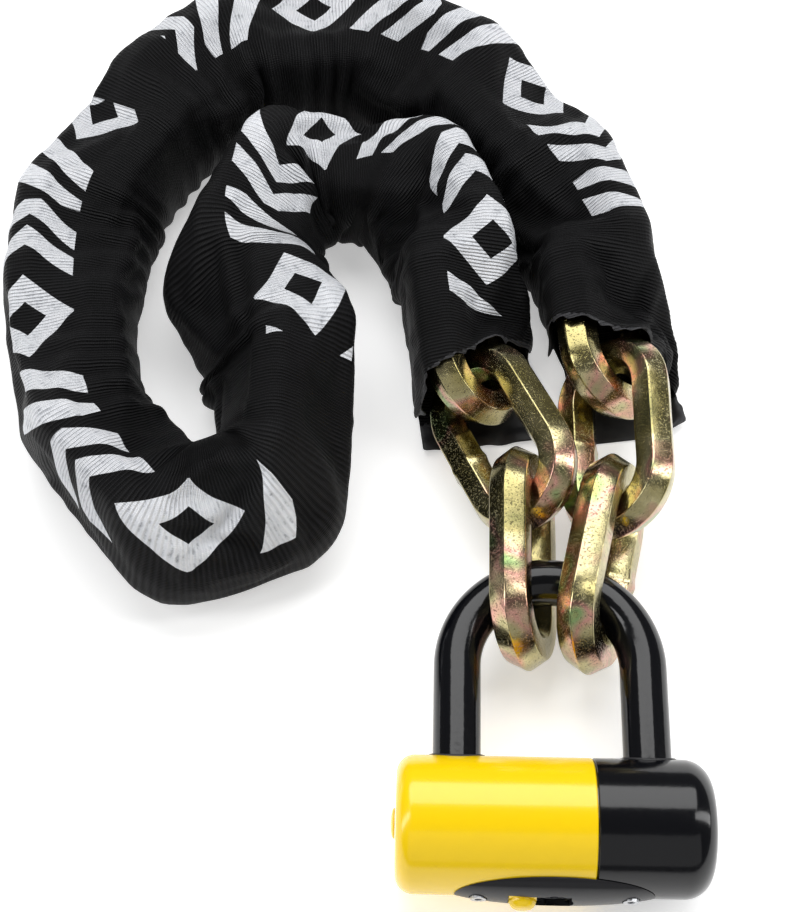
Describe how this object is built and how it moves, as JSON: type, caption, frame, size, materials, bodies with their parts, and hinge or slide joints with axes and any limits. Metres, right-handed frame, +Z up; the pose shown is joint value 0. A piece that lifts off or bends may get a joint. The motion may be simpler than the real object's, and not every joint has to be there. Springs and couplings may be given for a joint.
{
  "type": "chain lock",
  "caption": "Security chain of hexagonal links in a fabric sleeve, joined into a loop by a shackle padlock with a key cylinder in its cross bar.",
  "frame": {"origin": "on the ground, on the flat facet under the lock body, in the shackle's middle plane and under the body's axis", "axes": "+X along the lock body, +Y from the body through the shackle to the chain, +Z up"},
  "size_m": [0.2355, 0.3438, 0.0513],
  "materials": {
    "zinc_steel": "yellow zinc chromate, iridescent, satin",
    "hardened_steel": "machined",
    "brass": "brass-coloured, machined",
    "black_vinyl": "thick gloss vinyl coating",
    "yellow_plastic": "gloss",
    "black_plastic": "semi-gloss",
    "black_rubber": "matt",
    "sleeve_fabric": "ribbed woven nylon with a white reflective print"
  },
  "bodies": {
    "sleeve": {"sleeve": "sleeve_fabric"},
    "link_03": {"link_03": "zinc_steel"},
    "link_04": {"link_04": "zinc_steel"},
    "link_05": {"link_05": "zinc_steel"},
    "link_06": {"link_06": "zinc_steel"},
    "link_07": {"link_07": "zinc_steel"},
    "link_08": {"link_08": "zinc_steel"},
    "link_09": {"link_09": "zinc_steel"},
    "link_10": {"link_10": "zinc_steel"},
    "link_11": {"link_11": "zinc_steel"},
    "link_12": {"link_12": "zinc_steel"},
    "link_13": {"link_13": "zinc_steel"},
    "link_14": {"link_14": "zinc_steel"},
    "link_15": {"link_15": "zinc_steel"},
    "link_16": {"link_16": "zinc_steel"},
    "link_17": {"link_17": "zinc_steel"},
    "link_18": {"link_18": "zinc_steel"},
    "link_19": {"link_19": "zinc_steel"},
    "right_mouth_link": {"link_02": "zinc_steel"},
    "right_hook_link": {"link_01": "zinc_steel"},
    "left_mouth_link": {"link_20": "zinc_steel"},
    "left_hook_link": {"link_21": "zinc_steel"},
    "shackle": {"shackle": "black_vinyl"},
    "lock_body": {"yellow_cover": "yellow_plastic", "black_cover": "black_plastic", "lock_core": "hardened_steel", "core_pin_left": "hardened_steel", "core_pin_right": "hardened_steel", "shackle_seal_left": "black_rubber", "shackle_seal_right": "black_rubber", "end_plug": "yellow_plastic", "key_plate": "black_plastic", "plate_screw_left": "hardened_steel", "plate_screw_right": "hardened_steel", "anti_drill_disc": "hardened_steel", "cylinder_housing": "brass"},
    "key_cylinder": {"cylinder_plug": "brass", "detainer_disc_1": "hardened_steel", "detainer_disc_2": "hardened_steel", "detainer_disc_3": "hardened_steel", "detainer_disc_4": "hardened_steel", "detainer_disc_5": "hardened_steel", "sidebar": "hardened_steel", "drive_cam": "hardened_steel"},
    "bolt_left": {"bolt_left": "hardened_steel"},
    "bolt_right": {"bolt_right": "hardened_steel"},
    "keyhole_slider": {"keyhole_slider": "yellow_plastic"}
  },
  "joints": [
    {"name": "link_03_rock", "type": "hinge", "parent": "sleeve", "child": "link_03", "pos_m": [0.02093, 0.17642, 0.02411], "axis": [-0.0811, 0.9963, -0.0288], "range_deg": [-2.4, 1.2]},
    {"name": "link_04_rock", "type": "hinge", "parent": "sleeve", "child": "link_04", "pos_m": [0.01163, 0.22057, 0.02501], "axis": [-0.3179, 0.9479, -0.0184], "range_deg": [-2.4, 1.2]},
    {"name": "link_05_rock", "type": "hinge", "parent": "sleeve", "child": "link_05", "pos_m": [-0.00953, 0.26, 0.0222], "axis": [-0.6196, 0.7849, 0.0112], "range_deg": [-2.4, 1.2]},
    {"name": "link_06_rock", "type": "hinge", "parent": "sleeve", "child": "link_06", "pos_m": [-0.04372, 0.28838, 0.0255], "axis": [-0.8874, 0.4611, -0.0045], "range_deg": [-2.4, 1.2]},
    {"name": "link_07_rock", "type": "hinge", "parent": "sleeve", "child": "link_07", "pos_m": [-0.08655, 0.29669, 0.02143], "axis": [-0.9952, -0.0973, 0.0124], "range_deg": [-2.4, 1.2]},
    {"name": "link_08_rock", "type": "hinge", "parent": "sleeve", "child": "link_08", "pos_m": [-0.12577, 0.27889, 0.02632], "axis": [-0.7256, -0.6881, -0.0055], "range_deg": [-2.4, 1.2]},
    {"name": "link_09_rock", "type": "hinge", "parent": "sleeve", "child": "link_09", "pos_m": [-0.15338, 0.24347, 0.02342], "axis": [-0.4878, -0.8723, -0.0345], "range_deg": [-2.4, 1.2]},
    {"name": "link_10_rock", "type": "hinge", "parent": "sleeve", "child": "link_10", "pos_m": [-0.16472, 0.20077, 0.02593], "axis": [-0.0216, -0.9996, -0.0208], "range_deg": [-2.4, 1.2]},
    {"name": "link_11_rock", "type": "hinge", "parent": "sleeve", "child": "link_11", "pos_m": [-0.16105, 0.15577, 0.02348], "axis": [0.1905, -0.9814, -0.0252], "range_deg": [-2.4, 1.2]},
    {"name": "link_12_rock", "type": "hinge", "parent": "sleeve", "child": "link_12", "pos_m": [-0.14063, 0.11719, 0.02698], "axis": [0.6695, -0.7416, -0.0418], "range_deg": [-2.4, 1.2]},
    {"name": "link_13_rock", "type": "hinge", "parent": "sleeve", "child": "link_13", "pos_m": [-0.10494, 0.10247, 0.02159], "axis": [0.9311, 0.3647, -0.0059], "range_deg": [-2.4, 1.2]},
    {"name": "link_14_rock", "type": "hinge", "parent": "sleeve", "child": "link_14", "pos_m": [-0.09026, 0.13765, 0.02638], "axis": [0.0171, 0.9998, -0.0048], "range_deg": [-2.4, 1.2]},
    {"name": "link_15_rock", "type": "hinge", "parent": "sleeve", "child": "link_15", "pos_m": [-0.09909, 0.17918, 0.02768], "axis": [-0.6442, 0.7573, -0.1073], "range_deg": [-2.4, 1.2]},
    {"name": "link_16_rock", "type": "hinge", "parent": "sleeve", "child": "link_16", "pos_m": [-0.09884, 0.21907, 0.02888], "axis": [0.3743, 0.9273, 0], "range_deg": [-2.4, 1.2]},
    {"name": "link_17_rock", "type": "hinge", "parent": "sleeve", "child": "link_17", "pos_m": [-0.06917, 0.24043, 0.01932], "axis": [0.998, -0.0628, -0.0102], "range_deg": [-2.4, 1.2]},
    {"name": "link_18_rock", "type": "hinge", "parent": "sleeve", "child": "link_18", "pos_m": [-0.03738, 0.21774, 0.02702], "axis": [0.3864, -0.922, 0.0237], "range_deg": [-2.4, 1.2]},
    {"name": "link_19_rock", "type": "hinge", "parent": "sleeve", "child": "link_19", "pos_m": [-0.02594, 0.17423, 0.02434], "axis": [0.1243, -0.9898, -0.0691], "range_deg": [-2.4, 1.2]},
    {"name": "mouth_links_lift", "type": "hinge", "parent": "sleeve", "child": "left_mouth_link", "pos_m": [-0.0241, 0.15953, 0.02331], "axis": [-0.9889, 0, -0.1483], "range_deg": [0, 9]},
    {"name": "right_mouth_link_lift", "type": "hinge", "parent": "sleeve", "child": "right_mouth_link", "pos_m": [0.0226, 0.1515, 0.0265], "axis": [-0.9889, 0, -0.1483], "range_deg": [0, 9]},
    {"name": "hook_links_lift", "type": "hinge", "parent": "left_mouth_link", "child": "left_hook_link", "pos_m": [-0.00799, 0.10236, 0.02449], "axis": [-0.9578, 0, -0.2873], "range_deg": [0, 12]},
    {"name": "right_hook_link_lift", "type": "hinge", "parent": "right_mouth_link", "child": "right_hook_link", "pos_m": [0.02044, 0.10092, 0.02304], "axis": [-0.9578, 0, -0.2873], "range_deg": [0, 12]},
    {"name": "lock_swing", "type": "hinge", "parent": "left_hook_link", "child": "shackle", "pos_m": [-0.0081, 0.07985, 0.0214], "axis": [-0.9535, 0.286, -0.0953], "range_deg": [-15, 9]},
    {"name": "body_slide", "type": "slide", "parent": "shackle", "child": "lock_body", "axis": [0, -1, 0], "range_m": [0, 0.06]},
    {"name": "key_turn", "type": "hinge", "parent": "lock_body", "child": "key_cylinder", "pos_m": [0, 0, 0.0206], "axis": [0, -1, 0], "range_deg": [0, 90]},
    {"name": "bolt_left_slide", "type": "slide", "parent": "lock_body", "child": "bolt_left", "axis": [-1, 0, 0], "range_m": [0, 0.003]},
    {"name": "bolt_right_slide", "type": "slide", "parent": "lock_body", "child": "bolt_right", "axis": [1, 0, 0], "range_m": [0, 0.003]},
    {"name": "keyhole_slider_slide", "type": "slide", "parent": "lock_body", "child": "keyhole_slider", "axis": [1, 0, 0], "range_m": [0, 0.0095]}
  ],
  "couplings": [
    {"joint": "link_04_rock", "follows": "link_03_rock", "ratio": 1},
    {"joint": "link_05_rock", "follows": "link_03_rock", "ratio": 1},
    {"joint": "link_06_rock", "follows": "link_03_rock", "ratio": 1},
    {"joint": "link_07_rock", "follows": "link_03_rock", "ratio": 1},
    {"joint": "link_08_rock", "follows": "link_03_rock", "ratio": 1},
    {"joint": "link_09_rock", "follows": "link_03_rock", "ratio": 1},
    {"joint": "link_10_rock", "follows": "link_03_rock", "ratio": 1},
    {"joint": "link_11_rock", "follows": "link_03_rock", "ratio": 1},
    {"joint": "link_12_rock", "follows": "link_03_rock", "ratio": 1},
    {"joint": "link_13_rock", "follows": "link_03_rock", "ratio": 1},
    {"joint": "link_14_rock", "follows": "link_03_rock", "ratio": 1},
    {"joint": "link_15_rock", "follows": "link_03_rock", "ratio": 1},
    {"joint": "link_16_rock", "follows": "link_03_rock", "ratio": 1},
    {"joint": "link_17_rock", "follows": "link_03_rock", "ratio": 1},
    {"joint": "link_18_rock", "follows": "link_03_rock", "ratio": 1},
    {"joint": "link_19_rock", "follows": "link_03_rock", "ratio": 1},
    {"joint": "right_mouth_link_lift", "follows": "mouth_links_lift", "ratio": 1},
    {"joint": "right_hook_link_lift", "follows": "hook_links_lift", "ratio": 1},
    {"joint": "bolt_left_slide", "follows": "key_turn", "m_per_rad": 0.001908},
    {"joint": "bolt_right_slide", "follows": "key_turn", "m_per_rad": 0.001908}
  ]
}
